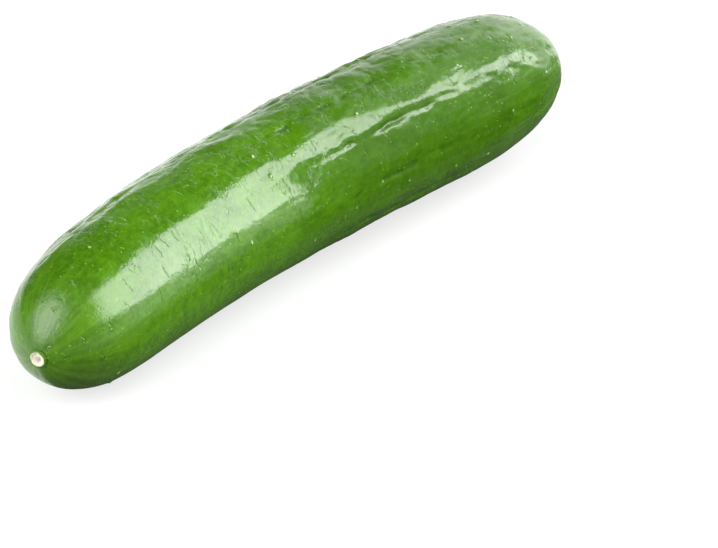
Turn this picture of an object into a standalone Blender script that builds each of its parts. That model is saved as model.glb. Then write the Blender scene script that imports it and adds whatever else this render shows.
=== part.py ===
"""A whole slicing cucumber, lying on its side.

It grew in one piece, so it is one solid: the fruit with its ribs, furrows, dents and warts,
the round scar where the flower sat, and the short stub of the stalk it was cut from.
X runs from the flower end (-X) to the stalk end (+X), Z is up, and the origin is under the
middle of the fruit, on the surface it lies on. Units are metres.
"""

import math
import random

import bmesh
import bpy
from mathutils import Matrix, Vector, noise

MM = 0.001

# Driving dimensions
LENGTH = 230.5 * MM  # flower scar to stalk end, without the stub
DIAMETER = 46 * MM  # halfway along
STALK_END_FATTER = 0.075  # share by which the radius grows towards the stalk end
ENDS_SLIMMER = 0.060  # share that the radius loses towards both ends
BOW = 10.8 * MM  # sideways bow of the middle
BOW_SKEW = 4.5 * MM  # how much more of that bow is at the flower end
ENDS_LIFT = 0.6 * MM  # how far both ends stand off the surface
BELLY_FLAT = 0.35 * MM  # how deep the underside is flattened where it lies
BOX_MIDDLE = (0.428 * MM, 7.781 * MM)  # the middle of the fruit's box, from that of its bow's chord

# Each end rounds off as (1 - share ** power) ** root
FLOWER_END = (10.8, 0.637)
STALK_END = (6.85, 0.570)

# Rings and columns of the skin
COLUMNS = 72
RINGS = 56
RING_EASE = 0.75  # 0 spaces the rings evenly along the fruit, and 1 as the sine of an even angle

# Furrows between the ten ribs. They start past the smooth flower half
RIBS = 10
FIRST_FURROW = math.radians(140)
FURROW_DEPTH = (0.38 * MM, 0.60 * MM)
FURROW_HALF_WIDTH = 1.7 * MM
FURROW_START = (82 * MM, 104 * MM)  # from the flower scar
FURROW_FADE = 26 * MM
FURROW_WANDER = math.radians(3.0)
FURROW_WAVE = 24 * MM  # length of a bend
FURROW_SWELL = 0.5  # how much the depth changes along a furrow, as a share
FAINT_FURROW = 0.10  # share of the depth that a furrow keeps in the flower half

# Dents, and the lumps on the crests of the ribs
DENT_SPAN = (24 * MM, 13 * MM)  # along and around
DENT_HEIGHT = 0.34 * MM
LUMP_SPAN = (13 * MM, 9 * MM)
LUMP_HEIGHT = 0.26 * MM
SMOOTH_HALF = 0.30  # share of the dents and lumps in the flower half
ROUGHENS = (70 * MM, 125 * MM)  # from the flower scar, where that share grows to 1
TIP_FADE = (0.12, 0.85)  # shares of the body radius between which the relief grows from the tips

# Warts, the low buttons that each carried a spine
WARTS = 62
WART_RADIUS = 0.78 * MM
WART_HEIGHT = (0.26 * MM, 0.42 * MM)
WART_TOP = 0.66  # share of its radius that the wart keeps at its top
WART_LEAN = 0.72  # power of the random place, under 1 for more warts at the stalk end
WART_CLEAR_ROWS = 6  # rows at both tips with no wart
WART_CLEAR_HEIGHT = 3 * MM  # height over the surface with no wart
WART_SEED = 11
FURROW_SEED = 5

# The flower scar: rings as (radius, height) in millimetres, from its brim inwards
SCAR_RADIUS = 2.6 * MM
SCAR_RINGS = ((2.45, 0.22), (2.0, 0.34), (1.6, 0.05), (0.8, -0.12))
SCAR_CENTRE = -0.05 * MM

# The stalk stub: rings as (radius, height) in millimetres, from the dimple round it to its cut face
STUB_DIMPLE_RADIUS = 6.4 * MM
STUB_RINGS = ((5.2, -0.25), (4.3, -0.30), (3.7, 0.5), (3.4, 1.4), (3.5, 2.3), (3.25, 2.7), (1.5, 2.65))
STUB_RIBS = 5
STUB_RIB_SHARE = 0.10
STUB_CENTRE = 2.45 * MM


def smooth_step(low, high, value):
    """0 below low, 1 above high, and an even curve between."""
    share = min(1.0, max(0.0, (value - low) / (high - low)))
    return share * share * (3 - 2 * share)


def body_radius(t):
    """Radius of the body without its rounded ends. t runs from -1, flower end, to 1, stalk end."""
    return DIAMETER / 2 * (1 + STALK_END_FATTER * t - ENDS_SLIMMER * t * t)


def fruit_radius(t):
    """Radius of the fruit at t, with its rounded ends and without its relief."""
    power, root = FLOWER_END if t < 0 else STALK_END
    return body_radius(t) * max(0.0, 1 - abs(t) ** power) ** root


def spine(t):
    """Point on the fruit's centre line."""
    bow = BOW * (1 - t * t) + BOW_SKEW * (t ** 3 - t)
    height = body_radius(t) - BELLY_FLAT + ENDS_LIFT * t * t
    return Vector((t * LENGTH / 2 - BOX_MIDDLE[0], bow - BOX_MIDDLE[1], height))


def cross_axes(t):
    """The spine's direction at t, and the sideways and upward axes of the cross-section there."""
    slope = (-2 * BOW * t + BOW_SKEW * (3 * t * t - 1)) / (LENGTH / 2)
    tangent = Vector((1, slope, 0)).normalized()
    side = Vector((0, 0, 1)).cross(tangent)
    return tangent, side, tangent.cross(side)


def spread(low_high, share):
    """The value that lies this share of the way between two limits."""
    return low_high[0] + (low_high[1] - low_high[0]) * share


def make_furrows():
    """One furrow between each two ribs: its angle, depth, start and its row of the noise."""
    draw = random.Random(FURROW_SEED)
    furrows = []
    for rib in range(RIBS):
        angle = FIRST_FURROW + math.tau * rib / RIBS + math.radians(draw.uniform(-2, 2)) * (rib > 0)
        depth = spread(FURROW_DEPTH, draw.random() if rib else 1)
        start = spread(FURROW_START, draw.random() if rib else 0.7)
        furrows.append((angle, depth, start, draw.uniform(0, 100)))
    return furrows


FURROWS = make_furrows()


def wrapped(angle):
    """The angle brought between minus and plus half a turn."""
    return (angle + math.pi) % math.tau - math.pi


def furrow_relief(along, turn, radius):
    """Height of the skin there, at or below zero, from the furrows alone."""
    height = 0.0
    for angle, depth, start, row in FURROWS:
        bend = FURROW_WANDER * noise.noise(Vector((along / FURROW_WAVE, row, 0)))
        swell = FURROW_SWELL * noise.noise(Vector((along / FURROW_WAVE, row, 9)))
        off = wrapped(turn - angle - bend) * radius / FURROW_HALF_WIDTH
        grown = FAINT_FURROW + (1 - FAINT_FURROW) * smooth_step(start, start + FURROW_FADE, along)
        height -= depth * (1 + swell) * grown * math.exp(-off * off)
    return height


def waves(along, turn, span, offset):
    """Smooth noise, about -1 to 1, whose bumps measure span along and around the fruit."""
    radius = DIAMETER / 2
    across = Vector((math.cos(turn), math.sin(turn))) * radius / span[1]
    return noise.noise(Vector((along / span[0] + offset, across.x, across.y)))


def relief(t, turn):
    """Height of the skin over the plain fruit, from furrows, dents and lumps."""
    radius = fruit_radius(t)
    along = (t + 1) * LENGTH / 2
    rough = SMOOTH_HALF + (1 - SMOOTH_HALF) * smooth_step(*ROUGHENS, along)
    height = furrow_relief(along, turn, max(radius, SCAR_RADIUS))
    height += DENT_HEIGHT * rough * waves(along, turn, DENT_SPAN, 0)
    height += LUMP_HEIGHT * rough * waves(along, turn, LUMP_SPAN, 40)
    return height * smooth_step(*TIP_FADE, radius / (DIAMETER / 2))


def skin_point(t, turn):
    """Point of the skin at t along and turn around, flattened where the fruit lies."""
    _, side, up = cross_axes(t)
    radius = fruit_radius(t) + relief(t, turn)
    point = spine(t) + side * (radius * math.cos(turn)) + up * (radius * math.sin(turn))
    point.z = max(point.z, 0.0)
    return point


def tip_place(end, radius):
    """The t at which the rounded end there, -1 or 1, has narrowed to this radius."""
    power, root = FLOWER_END if end < 0 else STALK_END
    return end * (1 - (radius / body_radius(end)) ** (1 / root)) ** (1 / power)


def ring_places():
    """Where the rings of the skin lie, closer together towards the tips."""
    first = tip_place(-1, SCAR_RADIUS)
    last = tip_place(1, STUB_DIMPLE_RADIUS)
    places = []
    for ring in range(RINGS):
        even = 2 * ring / (RINGS - 1) - 1
        eased = spread((even, math.sin(math.pi / 2 * even)), RING_EASE)
        places.append(spread((first, last), (eased + 1) / 2))
    return places


def turns():
    """The angles of the columns round the fruit."""
    return [math.tau * column / COLUMNS for column in range(COLUMNS)]


def bridge(bm, ring_a, ring_b, slot):
    """Quads between two rings of as many points. It returns them in column order."""
    faces = []
    for a, b, c, d in zip(ring_a, ring_a[1:] + ring_a[:1], ring_b[1:] + ring_b[:1], ring_b):
        face = bm.faces.new((a, b, c, d))
        face.material_index = slot
        faces.append(face)
    return faces


def end_rings(bm, brim, sign, rings, centre_height, ribs, rib_share, slot, fair=0):
    """Carries the skin on from its last ring to a small feature on the tip, and closes it there."""
    middle = sum((v.co for v in brim), Vector()) / len(brim)
    tangent, side, up = cross_axes(sign)
    outward = tangent * sign
    last = brim
    for count, (radius, height) in enumerate(rings):
        ring = []
        for turn in turns():
            ribbed = radius * MM * (1 + rib_share * math.cos(ribs * turn) * (count >= fair))
            spoke = side * math.cos(turn) + up * math.sin(turn)
            ring.append(bm.verts.new(middle + spoke * ribbed + outward * height * MM))
        bridge(bm, last, ring, slot if count >= fair else 0)
        last = ring
    tip = bm.verts.new(middle + outward * centre_height)
    for a, b in zip(last, last[1:] + last[:1]):
        bm.faces.new((a, b, tip)).material_index = slot


def pick_warts(places, draw):
    """Which faces of the skin get a wart, as (row, column), none of them beside another."""
    taken = set()
    while len(taken) < WARTS:
        span = len(places) - 1 - 2 * WART_CLEAR_ROWS
        row = WART_CLEAR_ROWS + int(span * draw.random() ** WART_LEAN)
        column = draw.randrange(COLUMNS)
        middle = (places[row] + places[row + 1]) / 2
        near = {(r, c % COLUMNS) for r in range(row - 1, row + 2) for c in range(column - 1, column + 2)}
        if near & taken or skin_point(middle, math.tau * (column + 0.5) / COLUMNS).z < WART_CLEAR_HEIGHT:
            continue
        taken.add((row, column))
    return sorted(taken)


def set_ring(face, centre, normal, radius):
    """Puts the corners of a face on a circle, evenly and in their own order."""
    spoke = face.loops[0].vert.co - centre
    spoke = (spoke - normal * spoke.dot(normal)).normalized() * radius
    for corner, loop in enumerate(face.loops):
        turn = Matrix.Rotation(math.tau * corner / len(face.loops), 3, normal)
        loop.vert.co = centre + turn @ spoke


def raise_wart(bm, face, height):
    """Makes a low round button in the middle of one face."""
    normal = face.normal.copy()
    centre = face.calc_center_median()
    width = min(edge.calc_length() for edge in face.edges)
    radius = min(WART_RADIUS, 0.42 * width)
    bmesh.ops.inset_individual(bm, faces=[face], thickness=0.1 * width)
    for edge in list(face.edges):
        bmesh.utils.edge_split(edge, edge.verts[0], 0.5)
    set_ring(face, centre, normal, radius)
    bmesh.ops.inset_individual(bm, faces=[face], thickness=0.1 * radius)
    set_ring(face, centre + normal * height, normal, WART_TOP * radius)


def make_material(name, colour, roughness, coat):
    """A Principled material of one colour."""
    material = bpy.data.materials.new(name)
    material.use_nodes = True
    shader = material.node_tree.nodes["Principled BSDF"]
    shader.inputs["Base Color"].default_value = (*colour, 1)
    shader.inputs["Roughness"].default_value = roughness
    shader.inputs["Metallic"].default_value = 0.0
    shader.inputs["Coat Weight"].default_value = coat
    return material


def make_cucumber():
    """The whole fruit as one closed mesh."""
    bm = bmesh.new()
    places = ring_places()
    rings = [[bm.verts.new(skin_point(t, turn)) for turn in turns()] for t in places]
    rows = [bridge(bm, a, b, 0) for a, b in zip(rings, rings[1:])]
    end_rings(bm, rings[0], -1, SCAR_RINGS, SCAR_CENTRE, 1, 0.0, 1)
    end_rings(bm, rings[-1], 1, STUB_RINGS, STUB_CENTRE, STUB_RIBS, STUB_RIB_SHARE, 2, fair=2)
    bmesh.ops.recalc_face_normals(bm, faces=bm.faces)
    draw = random.Random(WART_SEED)
    for row, column in pick_warts(places, draw):
        raise_wart(bm, rows[row][column], spread(WART_HEIGHT, draw.random()))
    mesh = bpy.data.meshes.new("cucumber")
    bm.to_mesh(mesh)
    bm.free()
    mesh.materials.append(make_material("cucumber_skin", (0.095, 0.262, 0.013), 0.28, 0.3))
    mesh.materials.append(make_material("flower_scar", (0.62, 0.56, 0.34), 0.75, 0.0))
    mesh.materials.append(make_material("stalk_stub", (0.24, 0.34, 0.10), 0.65, 0.0))
    mesh.shade_smooth()
    mesh.set_sharp_from_angle(angle=math.radians(50))
    fruit = bpy.data.objects.new("cucumber", mesh)
    bpy.context.scene.collection.objects.link(fruit)
    return fruit


def print_box(fruit):
    """Prints the box, to show that its middle is over the origin."""
    for axis, name in enumerate("XYZ"):
        places = [v.co[axis] for v in fruit.data.vertices]
        print(f"{name}: {min(places) / MM:.3f} to {max(places) / MM:.3f} mm")


def main():
    for old in list(bpy.data.objects):
        bpy.data.objects.remove(old)
    print_box(make_cucumber())


main()
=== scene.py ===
# %% [markdown]
# # A whole slicing cucumber
#
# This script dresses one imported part: a cucumber about 230 mm long that lies on its side.
# The part is already there as a fixed frame with its true size and place. What is added here is
# the look: a finer skin with its wrinkles and warts, the cork scar where the flower sat, the cut
# stub of the stalk, a plain floor, studio light and the camera.
#
# Each step below says what the real thing is like, how it could be made, and why this way was
# chosen. Lengths are in metres, and X runs from the flower end to the stalk end.

# %% Load the fixed frame
import math
import random

import bpy
import numpy as np
from mathutils import Matrix, Vector, noise


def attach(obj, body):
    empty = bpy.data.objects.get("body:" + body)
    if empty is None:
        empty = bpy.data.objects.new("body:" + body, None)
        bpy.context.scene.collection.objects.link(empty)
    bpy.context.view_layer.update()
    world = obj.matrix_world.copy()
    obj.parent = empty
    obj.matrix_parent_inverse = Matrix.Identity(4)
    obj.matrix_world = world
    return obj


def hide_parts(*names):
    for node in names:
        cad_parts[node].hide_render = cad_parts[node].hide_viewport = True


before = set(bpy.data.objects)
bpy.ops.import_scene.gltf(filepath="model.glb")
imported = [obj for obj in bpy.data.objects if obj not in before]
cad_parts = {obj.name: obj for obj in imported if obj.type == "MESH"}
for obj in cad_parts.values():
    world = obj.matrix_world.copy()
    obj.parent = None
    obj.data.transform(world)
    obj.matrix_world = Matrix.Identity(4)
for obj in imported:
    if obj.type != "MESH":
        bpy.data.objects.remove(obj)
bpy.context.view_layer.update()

MM = 0.001
print("the fixed frame holds", sorted(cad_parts))

# %% [markdown]
# ## The camera
#
# The photograph was taken from above and to the left of the flower end, from not very near, so
# the far end looks only a little smaller. A camera has a place, a direction and a focal length,
# and all three change where the fruit's outline falls. They were fitted together until the
# outline matched, and are kept as the angles that a photographer would name: how far round,
# how high, and how far away.

# %% Place the camera
VIEW_ROUND = math.radians(-50.9)
VIEW_HEIGHT = math.radians(30)
VIEW_DISTANCE = 0.85
VIEW_LENS = 145.5  # millimetres, on a sensor 36 mm wide
AIM_RIGHT = 0.0129  # how far right of the origin the camera aims
AIM_DOWN = 0.0219
AIM_BASE = Vector((-0.0004, -0.0078, 0.020))


def view_axes(around, height):
    """The camera's right, up and backward directions."""
    right = Vector((math.cos(around), math.sin(around), 0))
    back = Vector((math.sin(around) * math.cos(height), -math.cos(around) * math.cos(height),
                   math.sin(height)))
    return right, back.cross(right), back


def place_camera():
    """Adds the camera and makes it the scene's own."""
    right, up, back = view_axes(VIEW_ROUND, VIEW_HEIGHT)
    target = AIM_BASE + right * AIM_RIGHT - up * AIM_DOWN
    bpy.ops.object.camera_add(location=target + back * VIEW_DISTANCE)
    camera = bpy.context.object
    camera.name = "camera"
    camera.rotation_euler = back.to_track_quat("Z", "Y").to_euler()
    camera.data.lens = VIEW_LENS
    camera.data.sensor_width = 36
    camera.data.clip_start = 0.01
    bpy.context.scene.camera = camera
    return camera


camera = place_camera()
print("camera at", [round(c, 3) for c in camera.location])

# %% [markdown]
# ## Shader nodes as plain sums
#
# A material in Blender is a net of nodes. Dozens of Math nodes, each made and linked by hand,
# bury the idea. Here a small class stands for one output of a node, and knows what to do when
# Python meets a plus or a minus sign beside it. Every other node comes from one method.

# %% The two helpers for materials
class Wire:
    """One output of a node. A sum written with it adds the Math nodes that work it out."""

    def __init__(self, graph, socket):
        self.graph = graph
        self.socket = socket

    def maths(self, operation, first, second):
        return self.graph.node("ShaderNodeMath", {"operation": operation}, {0: first, 1: second})

    def __add__(self, other):
        return self.maths("ADD", self, other)

    def __sub__(self, other):
        return self.maths("SUBTRACT", self, other)

    def __rsub__(self, other):
        return self.maths("SUBTRACT", other, self)

    def __mul__(self, other):
        return self.maths("MULTIPLY", self, other)

    def __truediv__(self, other):
        return self.maths("DIVIDE", self, other)

    def __pow__(self, other):
        return self.maths("POWER", self, other)

    __radd__ = __add__
    __rmul__ = __mul__


class Graph:
    """The nodes of one material, or of the world."""

    def __init__(self, owner):
        owner.use_nodes = True
        self.owner = owner
        self.tree = owner.node_tree

    def node(self, kind, settings=None, inputs=None, output=0):
        """Adds a node, sets it up, fills or links its inputs, and returns one of its outputs."""
        node = self.tree.nodes.new(kind)
        for name, value in (settings or {}).items():
            if name == "stops":
                self.set_stops(node.color_ramp, value)
            else:
                setattr(node, name, value)
        for name, value in (inputs or {}).items():
            if isinstance(value, Wire):
                self.tree.links.new(value.socket, node.inputs[name])
            else:
                node.inputs[name].default_value = value
        return Wire(self, node.outputs[output])

    def set_stops(self, ramp, stops):
        """Gives a colour ramp its stops, as (place, colour)."""
        for count, (place, colour) in enumerate(stops):
            if count < 2:
                stop = ramp.elements[count]
                stop.position = place
            else:
                stop = ramp.elements.new(place)
            stop.color = (*colour, 1)

    def attribute(self, name, output="Fac"):
        """A value or a vector that the mesh keeps at each of its points."""
        return self.node("ShaderNodeAttribute", {"attribute_name": name}, output=output)

    def stretched(self, vector, along, across):
        """The same place, counted in steps of one size along the fruit and another across it."""
        return self.node("ShaderNodeMapping", {"vector_type": "POINT"},
                         {"Vector": vector, "Scale": (1 / along, 1 / across, 1 / across)})

    def noise(self, vector, size, detail=2.0, rough=0.5):
        """Cloudy noise from 0 to 1 whose patches are about this size."""
        return self.node("ShaderNodeTexNoise", {"noise_dimensions": "3D"},
                         {"Vector": vector, "Scale": 1 / size, "Detail": detail, "Roughness": rough})

    def size_of(self, value):
        """The value without its sign."""
        return self.node("ShaderNodeMath", {"operation": "ABSOLUTE"}, {0: value})

    def step(self, value, low, high):
        """0 where the value is below low, 1 where it is above high, and a smooth rise between."""
        return self.node("ShaderNodeMapRange", {"interpolation_type": "SMOOTHSTEP"},
                         {"Value": value, "From Min": low, "From Max": high})

    def mix(self, share, first, second):
        """The first colour where share is 0 and the second where it is 1."""
        colours = [c if isinstance(c, Wire) else (*c, 1) for c in (first, second)]
        return self.node("ShaderNodeMix", {"data_type": "RGBA"},
                         {0: share, 6: colours[0], 7: colours[1]}, output=2)

    def finish(self, shader="Principled BSDF", **sockets):
        """Links what varies over the surface to the shader."""
        names = {"colour": "Base Color", "roughness": "Roughness", "normal": "Normal", "light": "Color"}
        for key, wire in sockets.items():
            self.tree.links.new(wire.socket, self.tree.nodes[shader].inputs[names[key]])
        return self.owner

    def bump(self, height):
        """The normal that a height in metres gives the surface."""
        return self.node("ShaderNodeBump", inputs={"Height": height, "Strength": 1.0, "Distance": 1.0})


def new_material(name, **constants):
    """The graph of a new material. What stays the same all over it is set on its shader here."""
    graph = Graph(bpy.data.materials.new(name))
    shader = graph.tree.nodes["Principled BSDF"]
    for socket, value in constants.items():
        shader.inputs[socket.replace("_", " ")].default_value = value
    return graph


# %% [markdown]
# ## The form of the fruit
#
# A cucumber is nearly a tube with rounded ends, a little fatter towards the stalk and bent
# sideways. Ten shallow furrows part the ribs, and fade out in the smoother flower half. The fixed
# part was made by these same sums, so the finer skin lies where the coarse one is. Only its
# furrows are narrower and less even, and get shallower again towards the stalk tip. The sums are
# written once more here, for whole arrays of points, because a mesh this fine is quick that way.
#
# A place on the skin has two numbers: `t`, from -1 at the flower to 1 at the stalk, and `turn`,
# the angle round the fruit, which is 90 degrees on top.

# %% The sizes that the form is worked out from
LENGTH = 230.5 * MM
DIAMETER = 46 * MM
STALK_END_FATTER = 0.075
ENDS_SLIMMER = 0.060
BOW = 10.8 * MM
BOW_SKEW = 4.5 * MM
ENDS_LIFT = 0.6 * MM
BELLY_FLAT = 0.35 * MM
BOX_MIDDLE = (0.428 * MM, 7.781 * MM)
FLOWER_END = (10.8, 0.637)
STALK_END = (6.85, 0.570)

RIBS = 10
FIRST_FURROW = math.radians(140)
FURROW_DEPTH = (0.38 * MM, 0.60 * MM)
FURROW_HALF_WIDTH = 1.7 * MM
FURROW_START = (82 * MM, 104 * MM)
FURROW_FADE = 26 * MM
FURROW_WANDER = math.radians(3.0)
FURROW_WAVE = 24 * MM
FURROW_SWELL = 0.5
FAINT_FURROW = 0.10
FURROW_SEED = 5
FINE_HALF_WIDTH = 1.0 * MM  # the finer skin has narrower, shallower furrows that also shake a little
FINE_DEPTH_SHARE = 0.75
FINE_WANDER = math.radians(2.2)
FINE_SWELL = 1.15
FINE_WAVE = 5.5 * MM
FINE_FADE = (145 * MM, 192 * MM)  # where the finer skin's furrows get shallower towards the stalk
FINE_FADE_SHARE = 0.72
LINE_MARKS = 462  # places along the fruit where the furrows' noise is worked out
# rows of the noise for the bends and the swells of the furrows, and for those of the finer skin
BEND_LAYER, SWELL_LAYER, FINE_BEND_LAYER, FINE_SWELL_LAYER = 0, 9, 20, 30

DENT_SPAN = (24 * MM, 13 * MM)
DENT_HEIGHT = 0.34 * MM
LUMP_SPAN = (13 * MM, 9 * MM)
LUMP_HEIGHT = 0.26 * MM
DENT_OFFSET, LUMP_OFFSET, PUCKER_OFFSET, CUSHION_OFFSET = 0, 40, 80, 120  # where in the noise each lies
SMOOTH_HALF = 0.30  # share of the dents and lumps that the smooth half has
ROUGHENS = (70 * MM, 125 * MM)
TIP_FADE = (0.12, 0.85)  # shares of the full radius between which the relief grows

SCAR_RADIUS = 2.6 * MM
STUB_DIMPLE_RADIUS = 6.4 * MM


# %% The plain fruit
def smooth_step(low, high, value):
    """0 below low, 1 above high, and an even curve between."""
    share = np.clip((value - low) / (high - low), 0, 1)
    return share * share * (3 - 2 * share)


def spread(low_high, share):
    """The value that lies this share of the way between two limits."""
    return low_high[0] + (low_high[1] - low_high[0]) * share


def body_radius(t):
    """Radius of the body without its rounded ends."""
    return DIAMETER / 2 * (1 + STALK_END_FATTER * t - ENDS_SLIMMER * t * t)


def fruit_radius(t):
    """Radius of the fruit with its rounded ends and without its relief."""
    power = np.where(t < 0, FLOWER_END[0], STALK_END[0])
    root = np.where(t < 0, FLOWER_END[1], STALK_END[1])
    return body_radius(t) * np.maximum(0, 1 - np.abs(t) ** power) ** root


def spine(t):
    """Points on the fruit's centre line."""
    bow = BOW * (1 - t * t) + BOW_SKEW * (t ** 3 - t)
    height = body_radius(t) - BELLY_FLAT + ENDS_LIFT * t * t
    return np.stack((t * LENGTH / 2 - BOX_MIDDLE[0], bow - BOX_MIDDLE[1], height), axis=-1)


def cross_axes(t):
    """The spine's direction, and the sideways and upward axes of the cross-section."""
    slope = (-2 * BOW * t + BOW_SKEW * (3 * t * t - 1)) / (LENGTH / 2)
    size = np.sqrt(1 + slope * slope)
    flat = np.zeros_like(t)
    tangent = np.stack((1 / size, slope / size, flat), axis=-1)
    side = np.stack((-slope / size, 1 / size, flat), axis=-1)
    return tangent, side, np.cross(tangent, side)


def tip_place(end, radius):
    """The t at which the rounded end there, -1 or 1, has narrowed to this radius."""
    power, root = FLOWER_END if end < 0 else STALK_END
    return end * (1 - (radius / body_radius(end)) ** (1 / root)) ** (1 / power)


FIRST_PLACE = tip_place(-1, SCAR_RADIUS)
LAST_PLACE = tip_place(1, STUB_DIMPLE_RADIUS)
print("the skin runs from t", round(FIRST_PLACE, 4), "to", round(LAST_PLACE, 4))

# %% [markdown]
# ## Furrows, dents and lumps
#
# Each furrow wanders a little from side to side, as a plant grows and not as a machine cuts.
# Dents and lumps are smooth noise, longer along the fruit than round it. The noise is read on a
# straight tube of even width, so it has no seam where the angle starts again.

# %% The relief of the skin
def make_furrows():
    """One furrow between each two ribs: its angle, depth, start and its row of the noise."""
    draw = random.Random(FURROW_SEED)
    furrows = []
    for rib in range(RIBS):
        angle = FIRST_FURROW + math.tau * rib / RIBS + math.radians(draw.uniform(-2, 2)) * (rib > 0)
        depth = spread(FURROW_DEPTH, draw.random() if rib else 1)
        start = spread(FURROW_START, draw.random() if rib else 0.7)
        furrows.append((angle, depth, start, draw.uniform(0, 100)))
    return furrows


FURROWS = make_furrows()


def wrapped(angle):
    """The angle brought between minus and plus half a turn."""
    return (angle + math.pi) % math.tau - math.pi


def line_noise(along, wave, row, layer):
    """Smooth noise along the fruit. It is worked out every half millimetre and read between."""
    marks = np.linspace(0, LENGTH, LINE_MARKS)
    values = [noise.noise(Vector((mark / wave, row, layer))) for mark in marks]
    return np.interp(along, marks, values)


def furrow_relief(along, turn, radius, fine=False):
    """Height of the skin, at or below zero, from the furrows alone."""
    height = np.zeros_like(along)
    half_width = FINE_HALF_WIDTH if fine else FURROW_HALF_WIDTH
    for angle, depth, start, row in FURROWS:
        bend = FURROW_WANDER * line_noise(along, FURROW_WAVE, row, BEND_LAYER)
        swell = FURROW_SWELL * line_noise(along, FURROW_WAVE, row, SWELL_LAYER)
        if fine:
            depth = depth * FINE_DEPTH_SHARE
            bend = bend + FINE_WANDER * line_noise(along, FINE_WAVE, row, FINE_BEND_LAYER)
            swell = swell + FINE_SWELL * line_noise(along, FINE_WAVE, row, FINE_SWELL_LAYER)
            swell = swell - FINE_FADE_SHARE * smooth_step(*FINE_FADE, along)
        off = wrapped(turn - angle - bend) * radius / half_width
        grown = FAINT_FURROW + (1 - FAINT_FURROW) * smooth_step(start, start + FURROW_FADE, along)
        height -= depth * np.maximum(0, 1 + swell) * grown * np.exp(-off * off)
    return height


def waves(along, turn, span, offset):
    """Smooth noise, about -1 to 1, whose bumps measure span along and around the fruit."""
    tube = DIAMETER / 2 / span[1]
    places = zip(along / span[0] + offset, np.cos(turn) * tube, np.sin(turn) * tube)
    return np.array([noise.noise(Vector(place)) for place in places])


def relief(t, turn, fine=False):
    """Height of the skin over the plain fruit, from furrows, dents and lumps."""
    radius = fruit_radius(t)
    along = (t + 1) * LENGTH / 2
    rough = SMOOTH_HALF + (1 - SMOOTH_HALF) * smooth_step(*ROUGHENS, along)
    height = furrow_relief(along, turn, np.maximum(radius, SCAR_RADIUS), fine)
    height += DENT_HEIGHT * rough * waves(along, turn, DENT_SPAN, DENT_OFFSET)
    height += LUMP_HEIGHT * rough * waves(along, turn, LUMP_SPAN, LUMP_OFFSET)
    return height * smooth_step(*TIP_FADE, radius / (DIAMETER / 2))


# %% [markdown]
# ## Warts
#
# A young cucumber carries small spines, and each leaves a low pale wart when it rubs off. They
# could be separate domes laid on the skin, but a wart grows out of the skin with no edge under
# it. So the skin itself rises there. The draws below repeat those of the fixed part, so each
# wart stands where that part has it.

# %% Where the warts grow
COLUMNS = 72
RINGS = 56
RING_EASE = 0.75
WARTS = 62
WART_RADIUS = 0.78 * MM
WART_HEIGHT = (0.26 * MM, 0.42 * MM)
WART_LEAN = 0.72
WART_CLEAR_ROWS = 6
WART_CLEAR_HEIGHT = 3 * MM
WART_SEED = 11


def coarse_ring_places():
    """Where the fixed part has its rings."""
    even = 2 * np.arange(RINGS) / (RINGS - 1) - 1
    eased = spread((even, np.sin(math.pi / 2 * even)), RING_EASE)
    return spread((FIRST_PLACE, LAST_PLACE), (eased + 1) / 2)


def coarse_height(t, turn):
    """How high over the floor the skin is at one place."""
    t, turn = np.array([t]), np.array([turn])
    return (spine(t)[0, 2] + (fruit_radius(t) + relief(t, turn))[0] * math.sin(turn[0]))


def pick_warts():
    """The middle of each wart, as (t, turn, height)."""
    draw = random.Random(WART_SEED)
    places = coarse_ring_places()
    taken = set()
    while len(taken) < WARTS:
        span = len(places) - 1 - 2 * WART_CLEAR_ROWS
        row = WART_CLEAR_ROWS + int(span * draw.random() ** WART_LEAN)
        column = draw.randrange(COLUMNS)
        middle = (places[row] + places[row + 1]) / 2
        near = {(r, c % COLUMNS) for r in range(row - 1, row + 2) for c in range(column - 1, column + 2)}
        if near & taken or coarse_height(middle, math.tau * (column + 0.5) / COLUMNS) < WART_CLEAR_HEIGHT:
            continue
        taken.add((row, column))
    return [((places[row] + places[row + 1]) / 2, math.tau * (column + 0.5) / COLUMNS,
             spread(WART_HEIGHT, draw.random())) for row, column in sorted(taken)]


warts = pick_warts()
print(len(warts), "warts")

# %% [markdown]
# ## The fine skin
#
# The skin starts as a UV sphere, because that is already a closed net of rings and columns with a
# pole at each end. Its rings are spread along the fruit so that they lie evenly far apart on the
# surface, also round the ends. The net is made finer only where a wart stands. Then every point
# goes to its place on the fruit.

# %% A sphere with enough rings and columns
SKIN_COLUMNS = 232
SKIN_RINGS = 356
SEAT_RINGS = 6  # rings at each pole that lie under the scar and the stub
SEAT_SINK = 0.25 * MM
DIMPLE = ((4.3 * MM, 5.2 * MM, 6.4 * MM), (-0.30 * MM, -0.25 * MM, 0.0))  # radii, and heights there
WART_PATCH = 1.7  # the finer net reaches this many wart radii
WART_CUTS = 2
WALK_MARKS = 20001  # places where the way over the surface is measured

dense = np.linspace(FIRST_PLACE, LAST_PLACE, WALK_MARKS)
steps = np.hypot(np.diff(dense) * LENGTH / 2, np.diff(fruit_radius(dense)))
walked = np.concatenate(([0], np.cumsum(steps)))
even_walk = np.linspace(0, walked[-1], SKIN_RINGS - 2 * SEAT_RINGS + 1)
RING_NUMBERS = np.arange(SEAT_RINGS, SKIN_RINGS - SEAT_RINGS + 1)
RING_PLACES = np.interp(even_walk, walked, dense)
print("rings lie", round(even_walk[1] / MM, 2), "mm apart")


def select_only(piece):
    """Makes this the one selected object, ready for the next operator."""
    bpy.ops.object.select_all(action="DESELECT")
    piece.select_set(True)
    bpy.context.view_layer.objects.active = piece


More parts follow.
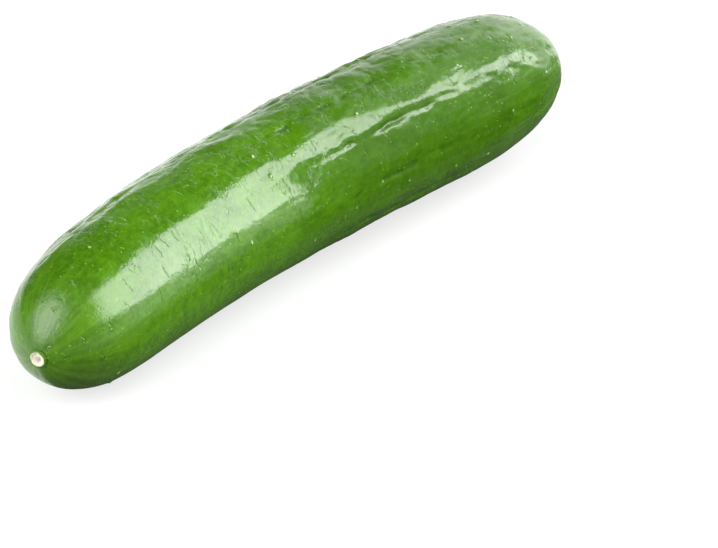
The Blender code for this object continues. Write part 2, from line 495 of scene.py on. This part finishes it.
def sphere_places(mesh):
    """The ring number and the turn of every point of the sphere."""
    flat = np.empty(len(mesh.vertices) * 3)
    mesh.vertices.foreach_get("co", flat)
    x, y, z = flat.reshape(-1, 3).T
    ring = np.arctan2(np.hypot(y, z), -x) / math.pi * SKIN_RINGS
    return ring, np.arctan2(z, y)


bpy.ops.object.select_all(action="DESELECT")
bpy.ops.mesh.primitive_uv_sphere_add(segments=SKIN_COLUMNS, ring_count=SKIN_RINGS, radius=1,
                                     rotation=(0, math.pi / 2, 0))
skin = bpy.context.object
skin.name = "cucumber_skin"
bpy.ops.object.transform_apply(location=False, rotation=True, scale=False)


# %% A finer net where the warts stand
def wart_distance(t, turn, wart):
    """How far each point is from a wart's middle, over the surface."""
    radius = fruit_radius(np.array([wart[0]]))[0]
    return np.hypot((t - wart[0]) * LENGTH / 2, wrapped(turn - wart[1]) * radius)


def refine_at_warts(piece):
    """Subdivides the faces round each wart."""
    mesh = piece.data
    ring, turn = sphere_places(mesh)
    t = np.interp(ring, RING_NUMBERS, RING_PLACES)
    near = np.zeros(len(ring), bool)
    for wart in warts:
        near |= wart_distance(t, turn, wart) < WART_PATCH * WART_RADIUS
    select_only(piece)
    bpy.ops.object.mode_set(mode="EDIT")
    bpy.ops.mesh.select_mode(type="FACE")
    bpy.ops.mesh.select_all(action="DESELECT")
    bpy.ops.object.mode_set(mode="OBJECT")
    mesh.polygons.foreach_set("select", [any(near[v] for v in p.vertices) for p in mesh.polygons])
    bpy.ops.object.mode_set(mode="EDIT")
    bpy.ops.mesh.subdivide(number_cuts=WART_CUTS)
    bpy.ops.object.mode_set(mode="OBJECT")


refine_at_warts(skin)
print("the skin has", len(skin.data.vertices), "points")

# %% [markdown]
# ## Fine wrinkles
#
# The fixed part stops at lumps a centimetre long. A closer look at the real skin shows cushions
# and puckers between them, which break up its reflections in the stalk half and along the back.
# They are noise again, in two sizes. The smaller one is folded, so that it makes thin valleys
# between rounded cushions.

# %% Every point goes to its place
CUSHION_SPAN = (13.0 * MM, 5.0 * MM)
CUSHION_HEIGHT = 0.36 * MM
PUCKER_SPAN = (6.5 * MM, 3.0 * MM)
PUCKER_DEPTH = 0.16 * MM
PUCKER_SHARP = 4
SMOOTH_SHARE = 0.22  # of the cushions and puckers, in the smooth part of the flower half
BACK_LEAD = 85 * MM  # the back of the fruit roughens this much nearer to the flower end
BACK_EDGE = (-0.20, 0.45)  # cosines of the turns between which the back begins
BACK_STARTS = (18 * MM, 45 * MM)  # how far from the flower end that strength sets in
BACK_ROUGH = 0.9  # how much stronger the fine wrinkles are on the far side of the back, as a share
WART_DOME = 0.72  # width of a wart's dome, in wart radii
WART_SWELL = (0.25, 2.4)  # the low swelling round it: share of its height, and width
WART_PALE = 0.8  # width of its pale spot


def roughness_of_form(along, turn):
    """How strong the fine wrinkles are, from a little in the smooth part to 1."""
    back = smooth_step(*BACK_EDGE, np.cos(turn))
    share = SMOOTH_SHARE + (1 - SMOOTH_SHARE) * smooth_step(*ROUGHENS, along + BACK_LEAD * back)
    return share * (1 + BACK_ROUGH * back * smooth_step(*BACK_STARTS, along))


def fine_relief(t, turn):
    """Height of cushions, puckers and warts, and how much of a wart each point is."""
    along = (t + 1) * LENGTH / 2
    folded = (1 - np.abs(waves(along, turn, PUCKER_SPAN, PUCKER_OFFSET))) ** PUCKER_SHARP
    cushions = waves(along, turn, CUSHION_SPAN, CUSHION_OFFSET)
    height = CUSHION_HEIGHT * cushions - PUCKER_DEPTH * folded
    height *= roughness_of_form(along, turn) * smooth_step(*TIP_FADE, fruit_radius(t) / (DIAMETER / 2))
    wart_share = np.zeros_like(t)
    for wart in warts:
        distance = wart_distance(t, turn, wart) / WART_RADIUS
        dome = np.exp(-(distance / WART_DOME) ** 2)
        swell = WART_SWELL[0] * np.exp(-(distance / WART_SWELL[1]) ** 2)
        height += wart[2] * np.maximum(dome, swell)
        pale = wart[2] / WART_HEIGHT[1]
        wart_share = np.maximum(wart_share, pale * np.exp(-(distance / WART_PALE) ** 2))
    return height, wart_share


def shape_skin(piece):
    """Moves the sphere's points onto the fruit and keeps what the material needs at each."""
    mesh = piece.data
    ring, turn = sphere_places(mesh)
    t = np.interp(ring, RING_NUMBERS, RING_PLACES)
    fine, wart_share = fine_relief(t, turn)
    plain = fruit_radius(t)
    radius = plain + relief(t, turn, fine=True) + fine
    share = np.clip(np.minimum(ring, SKIN_RINGS - ring) / SEAT_RINGS, 0, 1)
    radius *= share
    lift = np.where(t < 0, -SEAT_SINK * (1 - share), np.interp(radius, *DIMPLE) * (share < 1))
    tangent, side, up = cross_axes(t)
    across = side * np.cos(turn)[:, None] + up * np.sin(turn)[:, None]
    point = spine(t) + across * radius[:, None] + tangent * (np.sign(t) * lift)[:, None]
    point[:, 2] = np.maximum(point[:, 2], 0)
    mesh.vertices.foreach_set("co", point.ravel())
    along = (t + 1) * LENGTH / 2
    round_tube = np.stack((along, plain * share * np.cos(turn), plain * share * np.sin(turn)), axis=-1)
    even_tube = np.stack((along, DIAMETER / 2 * np.cos(turn), DIAMETER / 2 * np.sin(turn)), axis=-1)
    furrow = -furrow_relief(along, turn, plain, fine=True) / FURROW_DEPTH[1]
    keep_vector(mesh, "skin_place", round_tube)
    keep_vector(mesh, "skin_turn", even_tube)
    keep_value(mesh, "skin_wart", wart_share)
    # the furrows' depth, which the skin material turns into painted shade
    keep_value(mesh, "skin_furrow", furrow)
    mesh.update()


def keep_vector(mesh, name, vectors):
    """Stores a vector at each point of the mesh."""
    mesh.attributes.new(name, "FLOAT_VECTOR", "POINT").data.foreach_set("vector", vectors.ravel())


def keep_value(mesh, name, values):
    """Stores a number at each point of the mesh."""
    mesh.attributes.new(name, "FLOAT", "POINT").data.foreach_set("value", values)


shape_skin(skin)
select_only(skin)
bpy.ops.object.shade_smooth()
print("the skin is", [round(d / MM, 1) for d in skin.dimensions], "mm")

# %% [markdown]
# ## The skin's colour, gloss and grain
#
# Close to, a cucumber isn't one green. Darker and lighter mottles lie under a wax film, pale
# streaks and fibres run in from the flower scar, tiny pale specks are its pores, and the stalk
# half is deeper in colour. The furrows are darkened with painted shade. The wax gives sharp
# reflections, broken by a fine grain and by short cracks that run round the fruit. All of these
# are made from noise on the straight tube that the mesh keeps, so the patterns follow the bend of
# the fruit.

# %% The colours of the skin
DEEP_GREEN = (0.036, 0.118, 0.001)
# painted shade: this darker green stands in for the shade that falls in the furrows
FURROW_SHADE_GREEN = (0.018, 0.062, 0.001)
STALK_GREEN = (0.024, 0.074, 0.001)
LEAF_GREEN = (0.074, 0.215, 0.002)
LIGHT_GREEN = (0.140, 0.325, 0.008)
FIBRE_GREEN = (0.280, 0.470, 0.085)
WART_CREAM = (0.480, 0.620, 0.250)


def skin_colour(graph, place, tube, along):
    """The green of the skin, from its clouds down to its pores."""
    clouds = graph.step(graph.noise(place, 13 * MM, detail=2), 0.36, 0.64)
    mottles = graph.step(graph.noise(place, 2.0 * MM, detail=4, rough=0.65), 0.36, 0.66)
    colour = graph.mix(mottles * 0.50 + clouds * 0.35 + 0.10, DEEP_GREEN, LEAF_GREEN)
    grain = graph.step(graph.noise(place, 0.9 * MM, detail=3, rough=0.65), 0.50, 0.78)
    colour = graph.mix(grain * 0.38, colour, LIGHT_GREEN)
    colour = graph.mix(graph.step(along, 85 * MM, 135 * MM) * 0.46, colour, STALK_GREEN)
    fibres = graph.step(graph.noise(graph.stretched(tube, 15 * MM, 1.3 * MM), 1, detail=3), 0.50, 0.75)
    near_flower = 1 - graph.step(along, 4 * MM, 34 * MM)
    streaks = graph.step(graph.noise(graph.stretched(tube, 45 * MM, 5.5 * MM), 1, detail=2), 0.48, 0.62)
    colour = graph.mix(streaks * (near_flower * 0.24 + 0.05), colour, LIGHT_GREEN)
    colour = graph.mix(fibres * (near_flower * 0.09 + 0.06), colour, FIBRE_GREEN)
    # painted shade: the skin darkens towards the furrow green where the furrows lie deepest
    colour = graph.mix(graph.step(graph.attribute("skin_furrow"), 0.20, 0.95) * 0.55, colour, FURROW_SHADE_GREEN)
    pores = graph.node("ShaderNodeTexVoronoi", inputs={"Vector": place, "Scale": 1 / (1.9 * MM)})
    sparse = graph.step(graph.noise(place, 6 * MM), 0.44, 0.60)
    colour = graph.mix((1 - graph.step(pores, 0.08, 0.19)) * sparse * 0.55, colour, FIBRE_GREEN)
    return graph.mix(graph.step(graph.attribute("skin_wart"), 0.45, 0.9) * 0.8, colour, WART_CREAM)


# %% The wrinkles that are too small for the mesh
CRACK_CELL = 7.5 * MM
CRACK_REACH = 3.0 * MM
CRACK_WIDTH = 0.20 * MM
WRINKLE_WIDTH = 0.022  # as a share of the noise that the wrinkles follow


def cracks(graph, place, tube):
    """1 in short cracks that run round the fruit, one in about every second cell, and 0 elsewhere."""
    middle = graph.node("ShaderNodeTexVoronoi", inputs={"Vector": tube, "Scale": 1 / CRACK_CELL},
                        output="Position")
    offset = graph.node("ShaderNodeVectorMath", {"operation": "SUBTRACT"}, {0: tube, 1: middle})
    reach = graph.node("ShaderNodeVectorMath", {"operation": "LENGTH"}, {0: offset}, output="Value")
    across = graph.node("ShaderNodeSeparateXYZ", inputs={0: offset})
    wobble = graph.noise(place, 2.6 * MM, detail=3) * (3.2 * MM) - 1.6 * MM
    line = 1 - graph.step(graph.size_of(across + wobble), CRACK_WIDTH * 0.4, CRACK_WIDTH * 1.6)
    some = graph.step(graph.noise(tube, 11 * MM), 0.38, 0.54)
    return line * some * (1 - graph.step(reach, CRACK_REACH * 0.5, CRACK_REACH))


def wrinkles(graph, tube, along):
    """1 in thin bent lines that mostly run round the fruit, in patches, and 0 elsewhere."""
    cloud = graph.noise(graph.stretched(tube, 3.4 * MM, 6.5 * MM), 1, detail=3, rough=0.55)
    line = 1 - graph.step(graph.size_of(cloud - 0.5), 0.0, WRINKLE_WIDTH)
    patches = graph.step(graph.noise(tube, 8 * MM), 0.40, 0.62)
    return line * patches * graph.step(along, 14 * MM, 34 * MM)


def skin_height(graph, place, tube, along):
    """The fine relief, in metres, that is too small for the mesh."""
    stalk_half = graph.step(along, 60 * MM, 125 * MM)
    nose = 1 - graph.step(along, 3 * MM, 22 * MM)
    grain = graph.noise(place, 0.7 * MM, detail=2) * (nose * (0.045 * MM) + 0.020 * MM)
    pebbles = graph.noise(place, 2.1 * MM, detail=2) * (stalk_half * (0.020 * MM) + 0.060 * MM)
    ripples = graph.noise(graph.stretched(tube, 1.7 * MM, 5.5 * MM), 1)
    ripples = ripples * (stalk_half * (0.020 * MM) + 0.030 * MM)
    creases = graph.noise(graph.stretched(tube, 14 * MM, 2.0 * MM), 1, detail=3) * (nose * (0.03 * MM))
    lines = cracks(graph, place, tube) * (0.15 * MM) + wrinkles(graph, tube, along) * (0.045 * MM)
    return grain + pebbles + ripples + creases - lines


def make_skin_material():
    """Green under a wax film."""
    graph = new_material("cucumber skin", Specular_IOR_Level=0.65, IOR=1.5)
    place = graph.attribute("skin_place", "Vector")
    tube = graph.attribute("skin_turn", "Vector")
    along = graph.node("ShaderNodeSeparateXYZ", inputs={0: place})
    nose = 1 - graph.step(along, 3 * MM, 26 * MM)
    stalk_half = graph.step(along, 85 * MM, 140 * MM)
    wax = graph.noise(place, 4 * MM, detail=4, rough=0.6) * 0.14 + 0.09
    return graph.finish(
        colour=skin_colour(graph, place, tube, along),
        roughness=wax + nose * 0.15 + stalk_half * 0.05 + graph.attribute("skin_wart") * 0.2,
        normal=graph.bump(skin_height(graph, place, tube, along)),
    )


skin.data.materials.append(make_skin_material())
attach(skin, "root")
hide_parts("cucumber")

# %% [markdown]
# ## The flower scar
#
# The flower sat on the free end of the fruit. Where it dropped off, a round cork scar is left,
# with a raised cream brim and a sunken brownish middle. It is small but it is the first thing
# one sees at that end, so it is a piece of its own: a disc that is inset and lifted ring by
# ring, as on a lathe, then made finer and a little uneven.

# %% Helpers for the two round pieces
def tip_frame(end, t):
    """The middle of the fruit at t, and the outward direction at that end."""
    tangent = Vector(cross_axes(np.array([float(end)]))[0][0])
    return Vector(spine(np.array([t]))[0]), tangent * end


def turned_disc(name, corners, rings, end, t):
    """A round piece on a tip of the fruit, from rings of (radius, height) in millimetres."""
    middle, outward = tip_frame(end, t)
    bpy.ops.object.select_all(action="DESELECT")
    bpy.ops.mesh.primitive_circle_add(vertices=corners, radius=rings[0][0] * MM, fill_type="NGON",
                                      location=(0, 0, rings[0][1] * MM))
    piece = bpy.context.object
    piece.name = name
    bpy.ops.object.mode_set(mode="EDIT")
    bpy.ops.mesh.select_all(action="SELECT")
    for (radius, height), (next_radius, next_height) in zip(rings, rings[1:]):
        rise = (0, 0, (next_height - height) * MM)
        bpy.ops.mesh.extrude_region_move(TRANSFORM_OT_translate={"value": rise})
        share = next_radius / radius
        bpy.ops.transform.resize(value=(share, share, 1))
    bpy.ops.mesh.poke()
    bpy.ops.object.mode_set(mode="OBJECT")
    piece.rotation_euler = outward.to_track_quat("Z", "Y").to_euler()
    piece.location = middle
    return piece


def apply_modifier(piece, kind, **settings):
    """Adds a modifier to the piece and applies it."""
    select_only(piece)
    modifier = piece.modifiers.new(kind.lower(), kind)
    for name, value in settings.items():
        setattr(modifier, name, value)
    bpy.ops.object.modifier_apply(modifier=modifier.name)


def make_uneven(piece, size, strength):
    """Makes the piece finer, and moves its surface in and out by clouds of this size."""
    apply_modifier(piece, "SUBSURF", levels=2, render_levels=2)
    clouds = bpy.data.textures.new(piece.name, "CLOUDS")
    clouds.noise_scale = size
    apply_modifier(piece, "DISPLACE", texture=clouds, texture_coords="LOCAL", strength=strength,
                   mid_level=0.5)


def settle(piece):
    """Puts the piece's place and turn into its mesh."""
    select_only(piece)
    bpy.ops.object.transform_apply(location=True, rotation=True, scale=True)
    bpy.ops.object.shade_smooth()


def tip_measures(graph, end, t):
    """For a material at a tip: the place from its middle, how far outward, and how far from its axis."""
    middle, outward = tip_frame(end, t)
    place = graph.node("ShaderNodeTexCoord", output="Object")
    centred = graph.node("ShaderNodeVectorMath", {"operation": "SUBTRACT"}, {0: place, 1: middle})
    depth = graph.node("ShaderNodeVectorMath", {"operation": "DOT_PRODUCT"}, {0: centred, 1: outward},
                       output="Value")
    size = graph.node("ShaderNodeVectorMath", {"operation": "LENGTH"}, {0: centred}, output="Value")
    return centred, depth, (size * size - depth * depth) ** 0.5


# %% Model the scar
SCAR_CORNERS = 40
SCAR_RINGS = ((2.75, -0.35), (2.70, 0.02), (2.45, 0.22), (2.1, 0.33), (1.75, 0.22), (1.5, 0.0),
              (1.1, -0.10), (0.6, -0.02))
SCAR_CLOUDS = 0.9 * MM
SCAR_UNEVEN = 0.26 * MM

scar = turned_disc("flower_scar", SCAR_CORNERS, SCAR_RINGS, -1, FIRST_PLACE)
make_uneven(scar, SCAR_CLOUDS, SCAR_UNEVEN)
settle(scar)
print("the scar is", [round(d / MM, 2) for d in scar.dimensions], "mm")


# %% The material of the scar
def make_scar_material():
    """Cork: cream on the brim, dull and brownish in the middle, with dark radial flecks."""
    graph = new_material("flower scar cork", Specular_IOR_Level=0.3)
    centred, _, out = tip_measures(graph, -1, FIRST_PLACE)
    flecks = graph.noise(centred, 0.45 * MM, detail=3, rough=0.65)
    brim = graph.step(out + flecks * (0.9 * MM), 0.9 * MM, 1.8 * MM)
    colour = graph.mix(brim, (0.58, 0.49, 0.41), (0.84, 0.82, 0.62))
    colour = graph.mix(graph.step(flecks, 0.60, 0.74) * 0.6, colour, (0.40, 0.31, 0.18))
    green = graph.step(out + flecks * (0.7 * MM), 2.30 * MM, 2.60 * MM)
    colour = graph.mix(green, colour, LEAF_GREEN)
    return graph.finish(colour=colour, roughness=flecks * 0.3 + 0.5,
                        normal=graph.bump(flecks * (0.10 * MM)))


scar.data.materials.append(make_scar_material())
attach(scar, "root")

# %% [markdown]
# ## The stalk stub
#
# The other end was cut from the vine, which leaves two or three millimetres of stalk. It has five
# soft ribs, is waist-narrow in the middle, and its cut face has dried to a pale tan with a ring of
# darker vessels. It is turned like the scar. The ribs come from drawing every column in or out
# before the mesh is made finer.

# %% Model the stub
STUB_CORNERS = 40
STUB_RINGS = ((4.5, -0.75), (4.2, -0.25), (3.75, 0.4), (3.48, 1.0), (3.42, 1.6), (3.48, 2.1), (3.45, 2.4),
              (3.30, 2.58), (2.95, 2.64), (2.2, 2.60), (1.2, 2.50), (0.5, 2.43))
STUB_RIBS = 5
STUB_RIB_SHARE = 0.06
STUB_CLOUDS = 1.2 * MM
STUB_UNEVEN = 0.12 * MM

stub = turned_disc("stalk_stub", STUB_CORNERS, STUB_RINGS, 1, LAST_PLACE)
for vert in stub.data.vertices:
    angle = math.atan2(vert.co.y, vert.co.x)
    ribbed = 1 + STUB_RIB_SHARE * math.cos(STUB_RIBS * angle)
    vert.co.x *= ribbed
    vert.co.y *= ribbed
make_uneven(stub, STUB_CLOUDS, STUB_UNEVEN)
settle(stub)
print("the stub is", [round(d / MM, 2) for d in stub.dimensions], "mm")


# %% The material of the stub
def make_stub_material():
    """Dull green sides with long fibres, and a dry tan face with a ring of vessels."""
    graph = new_material("stalk stub", Specular_IOR_Level=0.35)
    centred, depth, out = tip_measures(graph, 1, LAST_PLACE)
    flecks = graph.noise(centred, 0.5 * MM, detail=3, rough=0.6)
    fibres = graph.noise(graph.stretched(centred, 4 * MM, 0.4 * MM), 1, detail=3)
    sides = graph.mix(graph.step(fibres, 0.4, 0.7), (0.11, 0.20, 0.035), (0.30, 0.40, 0.12))
    ring = 1 - graph.size_of(out / (0.5 * MM) - 4.4)
    face = graph.mix(graph.step(ring + flecks, 0.9, 1.4) * 0.7, (0.40, 0.36, 0.19), (0.20, 0.19, 0.07))
    face = graph.mix(graph.step(flecks, 0.55, 0.75) * 0.5, face, (0.52, 0.48, 0.30))
    cut = graph.step(depth + flecks * (0.25 * MM), 2.35 * MM, 2.65 * MM)
    inner = (1 - graph.step(out, 2.6 * MM, 3.1 * MM)) * graph.step(depth, 1.9 * MM, 2.2 * MM)
    top = graph.node("ShaderNodeMath", {"operation": "MAXIMUM"}, {0: cut, 1: inner})
    return graph.finish(colour=graph.mix(top, sides, face), roughness=flecks * 0.3 + 0.45,
                        normal=graph.bump(fibres * (0.10 * MM) + flecks * (0.06 * MM)))


stub.data.materials.append(make_stub_material())
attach(stub, "root")

# %% [markdown]
# ## Floor and light
#
# The fruit lies on a plain white floor. Its skin is so glossy that most of what one sees is what
# it mirrors, so the lights are placed by their reflections. A large softbox at the right gives
# the long bright band. A second one in nearly the same place only shows in the gloss, so the
# band can be bright without washing out the green. Two soft glows of the world beyond the ends
# give the sheen on the nose and the pale tip, and its pale walls give the rim along the back.
# What is overhead stays dark, which keeps the top of the fruit a full green.
#
# A photographer keeps the shaded side deep by laying dark cards beside the thing, just out of
# the picture. Here the white floor is a sheet that only the camera sees. It glows a little by
# itself, as an overlit studio floor does, so the shadow on it stays faint. Some strips under it
# are what lights the fruit and shows in its gloss: white behind, dark close in front, and grey
# further out. One standing card hides the foot of the large softbox from the stalk half, and a
# hanging grey one hides its upper part from there, so the bright band gets narrower past the
# middle of the fruit.

# %% The floor and the strips under it
FLOOR_SIZE = 8
FLOOR_DROP = 1 * MM  # how far the strips lie below it
FLOOR_GREY = 0.40
FLOOR_GLOW = 0.62
# from Y, to Y, grey, glow
FLOOR_STRIPS = ((0.0, 0.40, 0.80, 0.35), (-34 * MM, 0.0, 0.11, 0.0),
                (-75 * MM, -34 * MM, 0.05, 0.0), (-150 * MM, -75 * MM, 0.20, 0.04),
                (-4.0, -150 * MM, 0.45, 0.12))


def stage_plane(name, x_range, y_range, height, colour, glow=0.0):
    """A level rectangle that belongs to the studio, with a matt finish of one colour."""
    bpy.ops.object.select_all(action="DESELECT")
    bpy.ops.mesh.primitive_plane_add(size=1, location=(sum(x_range) / 2, sum(y_range) / 2, height))
    plane = bpy.context.object
    plane.name = name
    plane.scale = (x_range[1] - x_range[0], y_range[1] - y_range[0], 1)
    bpy.ops.object.transform_apply(location=True, rotation=True, scale=True)
    finish = new_material(name, Base_Color=(*colour, 1), Roughness=0.9, Specular_IOR_Level=0.1,
                          Emission_Color=(1, 1, 1, 1), Emission_Strength=glow)
    plane.data.materials.append(finish.owner)
    return plane


half = FLOOR_SIZE / 2
floor = stage_plane("floor", (-half, half), (-half, half), 0, (FLOOR_GREY,) * 3, FLOOR_GLOW)
floor.visible_diffuse = False
floor.visible_glossy = False
floor.visible_transmission = False
floor.visible_shadow = False
for count, (near, far, grey, glow) in enumerate(FLOOR_STRIPS):
    strip = stage_plane(f"floor strip {count}", (-half, half), (near, far), -FLOOR_DROP, (grey,) * 3, glow)
    strip.visible_camera = False

# %% The two cards, which only show in the gloss
CARD_COLOUR = (0.05, 0.08, 0.04)
CARD_Y = -42 * MM
CARD_ENDS = (5 * MM, 125 * MM)
CARD_HEIGHTS = (78 * MM, 46 * MM)  # its top edge falls towards the stalk end
CARD_CORNER = 30 * MM
HANGING_Y = -32 * MM
HANGING_ENDS = (46 * MM, 320 * MM)
HANGING_HEIGHTS = (84 * MM, 300 * MM)
HANGING_FALL = 72 * MM  # how much lower its far end hangs
HANGING_LEAN = 154 * MM  # how much further along its upper near corner is than the lower one
HANGING_GLOW = 0.6


def select_corner(card):
    """Selects the card's upper corner at its near end, and returns it."""
    bpy.ops.object.mode_set(mode="EDIT")
    bpy.ops.mesh.select_mode(type="VERT")
    bpy.ops.mesh.select_all(action="DESELECT")
    bpy.ops.object.mode_set(mode="OBJECT")
    corner = max(card.data.vertices, key=lambda vert: vert.co.y - vert.co.x)
    corner.select = True
    return corner


def stand_up(card, y):
    """Turns the flat card upright at this Y, and hides it from all but the gloss."""
    card.rotation_euler = (math.radians(90), 0, 0)
    card.location = (0, y, 0)
    card.visible_camera = False
    card.visible_diffuse = False
    card.visible_shadow = False


card = stage_plane("standing card", CARD_ENDS, (0, CARD_HEIGHTS[0]), 0, CARD_COLOUR)
far_corner = max(card.data.vertices, key=lambda vert: vert.co.y + vert.co.x)
far_corner.co.y = CARD_HEIGHTS[1]
select_corner(card)
bpy.ops.object.mode_set(mode="EDIT")
bpy.ops.mesh.bevel(offset=CARD_CORNER, segments=8, affect="VERTICES")
bpy.ops.object.mode_set(mode="OBJECT")
stand_up(card, CARD_Y)
hanging = stage_plane("hanging card", HANGING_ENDS, HANGING_HEIGHTS, 0, CARD_COLOUR, HANGING_GLOW)
select_corner(hanging).co.x += HANGING_LEAN
max(hanging.data.vertices, key=lambda vert: vert.co.x - vert.co.y).co.y -= HANGING_FALL
stand_up(hanging, HANGING_Y)


# %% The softboxes
def direction(around, height):
    """The direction at this angle round from +X, raised by this height. Both in degrees."""
    around, height = math.radians(around), math.radians(height)
    return Vector((math.cos(around) * math.cos(height), math.sin(around) * math.cos(height),
                   math.sin(height)))


def add_softbox(name, around, height, distance, size, radiance, roll=0.0, shift=(0.0, 0.0)):
    """A rectangular light that faces the fruit, turned and moved in its own plane."""
    towards = direction(around, height)
    level = Vector((-math.sin(math.radians(around)), math.cos(math.radians(around)), 0))
    rise = towards.cross(level)
    roll = math.radians(roll)
    wide = level * math.cos(roll) + rise * math.sin(roll)
    tall = towards.cross(wide)
    bpy.ops.object.light_add(type="AREA", location=towards * distance + wide * shift[0] + tall * shift[1])
    light = bpy.context.object
    light.name = name
    light.data.shape = "RECTANGLE"
    light.data.size, light.data.size_y = size
    light.data.energy = radiance * math.pi * size[0] * size[1]
    light.rotation_euler = Matrix((wide, tall, towards)).transposed().to_euler()
    return light


KEY = dict(around=-50, height=30, size=(1.32, 1.00), roll=-24, shift=(-0.06, 0.09))
add_softbox("key softbox", distance=1.10, radiance=2.5, **KEY)
sheen = add_softbox("key sheen", distance=1.09, radiance=4.2, **KEY)
sheen.visible_diffuse = False
for name, place, radiance in (("side fill", (-60, 14, 1.1, (1.40, 0.40)), 7.2),
                              ("overhead fill", (0, 90, 1.6, (1.6, 1.6)), 0.8)):
    fill = add_softbox(name, *place, radiance)
    fill.visible_glossy = False

# %% The world
WALL_GREYS = ((0.05, 1.30), (0.15, 1.00), (0.30, 0.52), (0.50, 0.20), (0.80, 0.04))  # Z, brightness
FLOWER_WALL_DROP = 0.6  # how much further down the ceiling's dark reaches beyond the flower end
FLOWER_WALL_EDGE = (0.30, 0.60)  # between these cosines to +X that stops
STALK_WALL_RISE = 0.36  # and how much less far down it reaches beyond the stalk end
STALK_WALL_EDGE = (0.65, 0.71)  # between these cosines that begins
GLOWS = ((0, 18, (0.86, 0.94), 2.0), (166, 38, (0.80, 0.97), 5.2))  # round, up, cosines, radiance


def make_world():
    """Walls that are white at the foot and dark above, with soft glows beyond the two ends."""
    graph = Graph(bpy.data.worlds.new("studio"))
    towards = graph.node("ShaderNodeTexCoord")
    x = graph.node("ShaderNodeSeparateXYZ", inputs={0: towards})
    z = graph.node("ShaderNodeSeparateXYZ", inputs={0: towards}, output=2)
    drop = (1 - graph.step(x, *FLOWER_WALL_EDGE)) * FLOWER_WALL_DROP
    drop = drop - graph.step(x, *STALK_WALL_EDGE) * STALK_WALL_RISE
    stops = [(place, (grey,) * 3) for place, grey in WALL_GREYS]
    colour = graph.node("ShaderNodeValToRGB", {"stops": stops}, {0: z + drop})
    for around, height, cosines, radiance in GLOWS:
        near = graph.node("ShaderNodeVectorMath", {"operation": "DOT_PRODUCT"},
                          {0: towards, 1: direction(around, height)}, output="Value")
        colour = graph.mix(graph.step(near, *cosines), colour, (radiance,) * 3)
    return graph.finish("Background", light=colour)


bpy.context.scene.world = make_world()

bpy.context.scene.view_settings.view_transform = "Standard"
